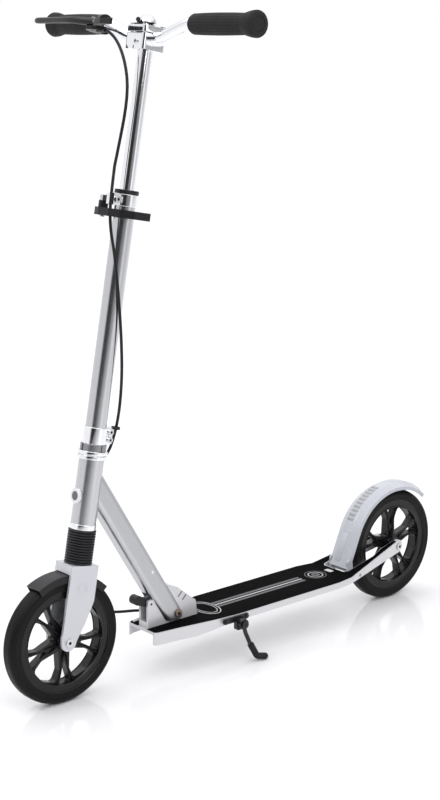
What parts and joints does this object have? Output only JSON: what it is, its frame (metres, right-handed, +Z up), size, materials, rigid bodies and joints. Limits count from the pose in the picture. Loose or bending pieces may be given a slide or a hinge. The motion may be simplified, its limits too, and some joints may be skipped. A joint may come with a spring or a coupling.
{
  "type": "kick scooter",
  "caption": "Folding kick scooter with large wheels, sprung fork, height-adjustable T-bar, hand brake acting on the rear fender, bell and kickstand.",
  "frame": {"origin": "on the ground, midway between the two axles and in the middle plane of the deck", "axes": "+X towards the front wheel, +Y towards the rider's left, +Z up"},
  "size_m": [0.945, 0.494, 1.0577],
  "materials": {
    "anodised": "satin",
    "bare_steel": "satin",
    "bright_steel": "polished",
    "dark_paint": "satin",
    "silver_paint": "satin",
    "black_plastic": "satin",
    "grey_plastic": "satin",
    "rim_plastic": "satin",
    "fender_plastic": "satin",
    "chromed": "polished",
    "grip_rubber": "matte",
    "boot_rubber": "satin",
    "tyre": "satin",
    "grip_tape": "rough"
  },
  "bodies": {
    "deck": {"deck": "silver_paint", "griptape": "grip_tape", "cable_grommet": "black_plastic", "folding_bracket": "silver_paint", "bracket_screws": "bare_steel", "pivot_bolt": "bright_steel", "kickstand_bracket": "dark_paint", "kickstand_bolt": "bright_steel", "cable_stop": "silver_paint", "cable_deck": "black_plastic", "rear_axle": "bright_steel", "fender_pin": "bare_steel"},
    "release_lever": {"release_lever": "black_plastic"},
    "kickstand": {"kickstand_leg": "dark_paint", "kickstand_sleeve": "grip_rubber"},
    "rear_fender": {"rear_fender": "fender_plastic", "brake_pad": "boot_rubber", "brake_wire": "bare_steel"},
    "rear_wheel": {"rear_tyre": "tyre", "rear_rim": "rim_plastic", "rear_bearings": "bare_steel"},
    "frame": {"down_tube": "silver_paint", "head_tube": "silver_paint", "headset_cups": "chromed", "head_badge": "bright_steel", "cable_fold": "black_plastic"},
    "stem": {"steerer_tube": "bare_steel", "headset_cone": "chromed", "headset_locknut": "bare_steel", "fork_boot": "boot_rubber", "fork_elastomer": "boot_rubber", "stem_clamp": "chromed", "stem_clamp_bolts": "bright_steel", "cable_clip": "black_plastic", "outer_tube": "anodised", "height_collar": "chromed", "collar_cap": "black_plastic", "clamp_skewer": "bright_steel", "clamp_washer": "black_plastic", "cable_stem": "black_plastic"},
    "clamp_lever": {"clamp_lever": "black_plastic"},
    "fork": {"fork": "silver_paint", "front_mudguard": "black_plastic", "front_axle": "bright_steel"},
    "front_wheel": {"front_tyre": "tyre", "front_rim": "rim_plastic", "front_bearings": "bare_steel"},
    "t_bar": {"inner_tube": "chromed", "handlebar": "chromed", "grips": "grip_rubber", "bar_clamp": "chromed", "bar_cap": "chromed", "bar_cap_bolts": "bright_steel", "bell_base": "black_plastic", "bell_dome": "bright_steel", "brake_housing": "black_plastic", "cable_upper": "black_plastic"},
    "bell_striker": {"bell_striker": "black_plastic"},
    "brake_lever": {"brake_lever": "black_plastic"}
  },
  "joints": [
    {"name": "fold", "type": "hinge", "parent": "deck", "child": "frame", "pos_m": [0.1475, 0, 0.096], "axis": [0, -1, 0], "range_deg": [0, 79.5], "deforming": ["cable_fold"]},
    {"name": "steering", "type": "hinge", "parent": "frame", "child": "stem", "pos_m": [0.31361, 0, 0.33431], "axis": [-0.1822, 0, 0.9833], "range_deg": [-45, 45], "deforming": ["cable_fold", "cable_stem"]},
    {"name": "suspension", "type": "slide", "parent": "stem", "child": "fork", "axis": [-0.1822, 0, 0.9833], "range_m": [0, 0.014], "stiffness_N_per_m": 30000, "springref_m": -0.004, "deforming": ["fork_boot", "fork_elastomer"]},
    {"name": "front_wheel_spin", "type": "hinge", "parent": "fork", "child": "front_wheel", "pos_m": [0.37, 0, 0.1025], "axis": [0, 1, 0], "continuous": true},
    {"name": "rear_wheel_spin", "type": "hinge", "parent": "deck", "child": "rear_wheel", "pos_m": [-0.37, 0, 0.1025], "axis": [0, 1, 0], "continuous": true},
    {"name": "bar_height", "type": "slide", "parent": "stem", "child": "t_bar", "axis": [-0.1822, 0, 0.9833], "range_m": [-0.1, 0], "deforming": ["cable_upper", "cable_stem"]},
    {"name": "clamp_lever_swing", "type": "hinge", "parent": "stem", "child": "clamp_lever", "pos_m": [0.25929, -0.022, 0.76182], "axis": [0.1822, 0, -0.9833], "range_deg": [0, 100]},
    {"name": "bell_ring", "type": "hinge", "parent": "t_bar", "child": "bell_striker", "pos_m": [0.18707, 0.001, 1.03905], "axis": [-0.1822, 0, 0.9833], "range_deg": [0, 25], "stiffness_Nm_per_rad": 0.02, "springref_deg": -22.92},
    {"name": "brake_pull", "type": "hinge", "parent": "t_bar", "child": "brake_lever", "pos_m": [0.21926, -0.092, 1.04095], "axis": [0.1822, 0, -0.9833], "range_deg": [0, 12], "stiffness_Nm_per_rad": 0.4, "springref_deg": -28.65},
    {"name": "fender_press", "type": "hinge", "parent": "deck", "child": "rear_fender", "pos_m": [-0.249, 0, 0.079], "axis": [0, -1, 0], "range_deg": [0, 5.5], "stiffness_Nm_per_rad": 0.9, "springref_deg": -34.38, "deforming": ["brake_wire"]},
    {"name": "kickstand_swing", "type": "hinge", "parent": "deck", "child": "kickstand", "pos_m": [0.051, 0.07, 0.068], "axis": [0, 1, 0], "range_deg": [0, 72]},
    {"name": "release_press", "type": "hinge", "parent": "deck", "child": "release_lever", "pos_m": [0.199, 0, 0.122], "axis": [0, 1, 0], "range_deg": [0, 20], "stiffness_Nm_per_rad": 0.2, "springref_deg": -22.92}
  ],
  "couplings": [
    {"joint": "brake_pull", "follows": "fender_press", "ratio": 2.1818}
  ]
}
